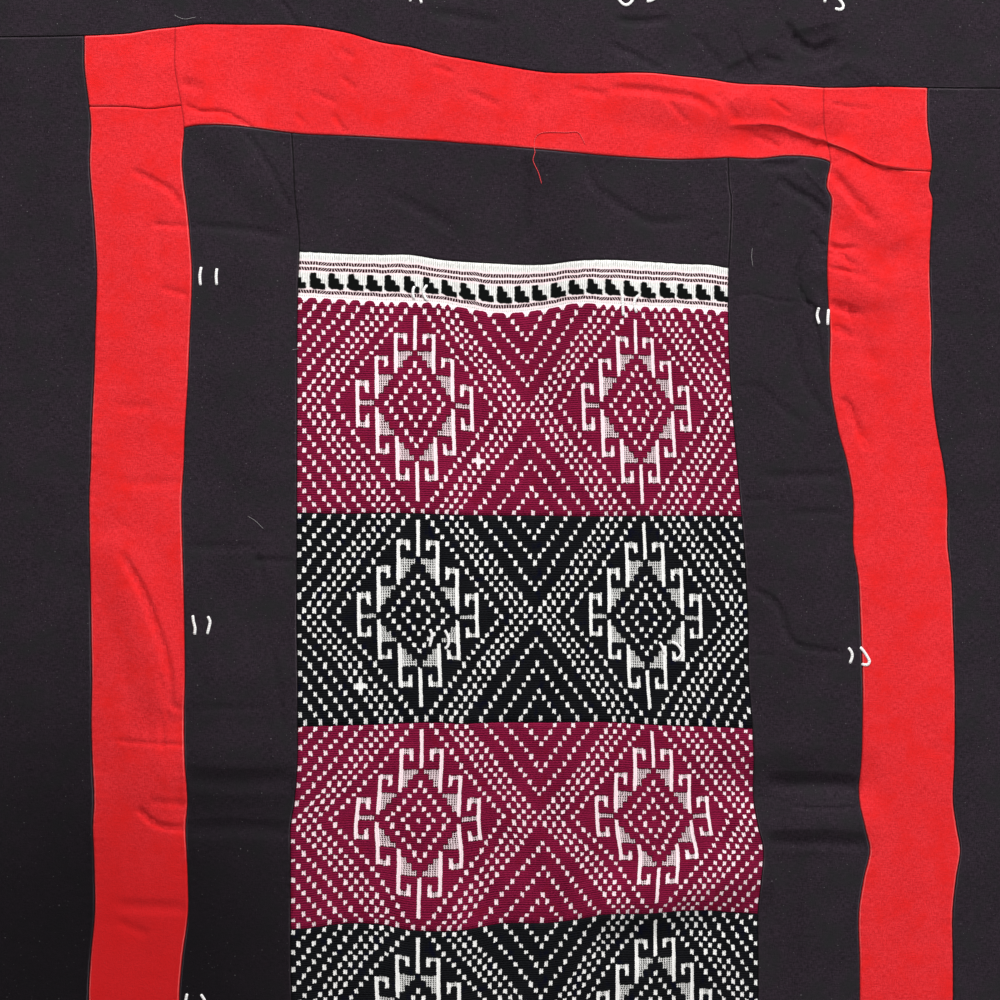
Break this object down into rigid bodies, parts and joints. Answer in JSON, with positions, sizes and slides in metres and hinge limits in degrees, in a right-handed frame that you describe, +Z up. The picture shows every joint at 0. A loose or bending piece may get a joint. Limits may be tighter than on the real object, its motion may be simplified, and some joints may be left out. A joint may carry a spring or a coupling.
{
  "type": "woven wall hanging",
  "caption": "Woven wall hanging: a brocade panel of hooked diamonds framed by black, red and black cotton strips.",
  "frame": {"origin": "the middle of the top edge, where the hanging is held", "axes": "+X across the hanging to the right as seen from the front, +Y away from the viewer through the cloth, +Z up along its height"},
  "size_m": [1.1088, 0.0277, 1.8037],
  "materials": {
    "woven_brocade": "ribbed handwoven cotton, white ground with crimson and black pattern weft",
    "black_cotton": "matt plain-weave cotton",
    "red_cotton": "matt plain-weave cotton"
  },
  "bodies": {
    "root": {"woven_panel": "woven_brocade", "inner_black_top": "black_cotton", "inner_black_foot": "black_cotton", "inner_black_left": "black_cotton", "inner_black_right": "black_cotton", "red_top": "red_cotton", "red_foot": "red_cotton", "red_corner_left": "red_cotton", "red_corner_right": "red_cotton", "red_left": "red_cotton", "red_right": "red_cotton", "outer_black_top": "black_cotton", "outer_black_foot": "black_cotton", "outer_black_left": "black_cotton", "outer_black_right": "black_cotton"}
  },
  "joints": []
}
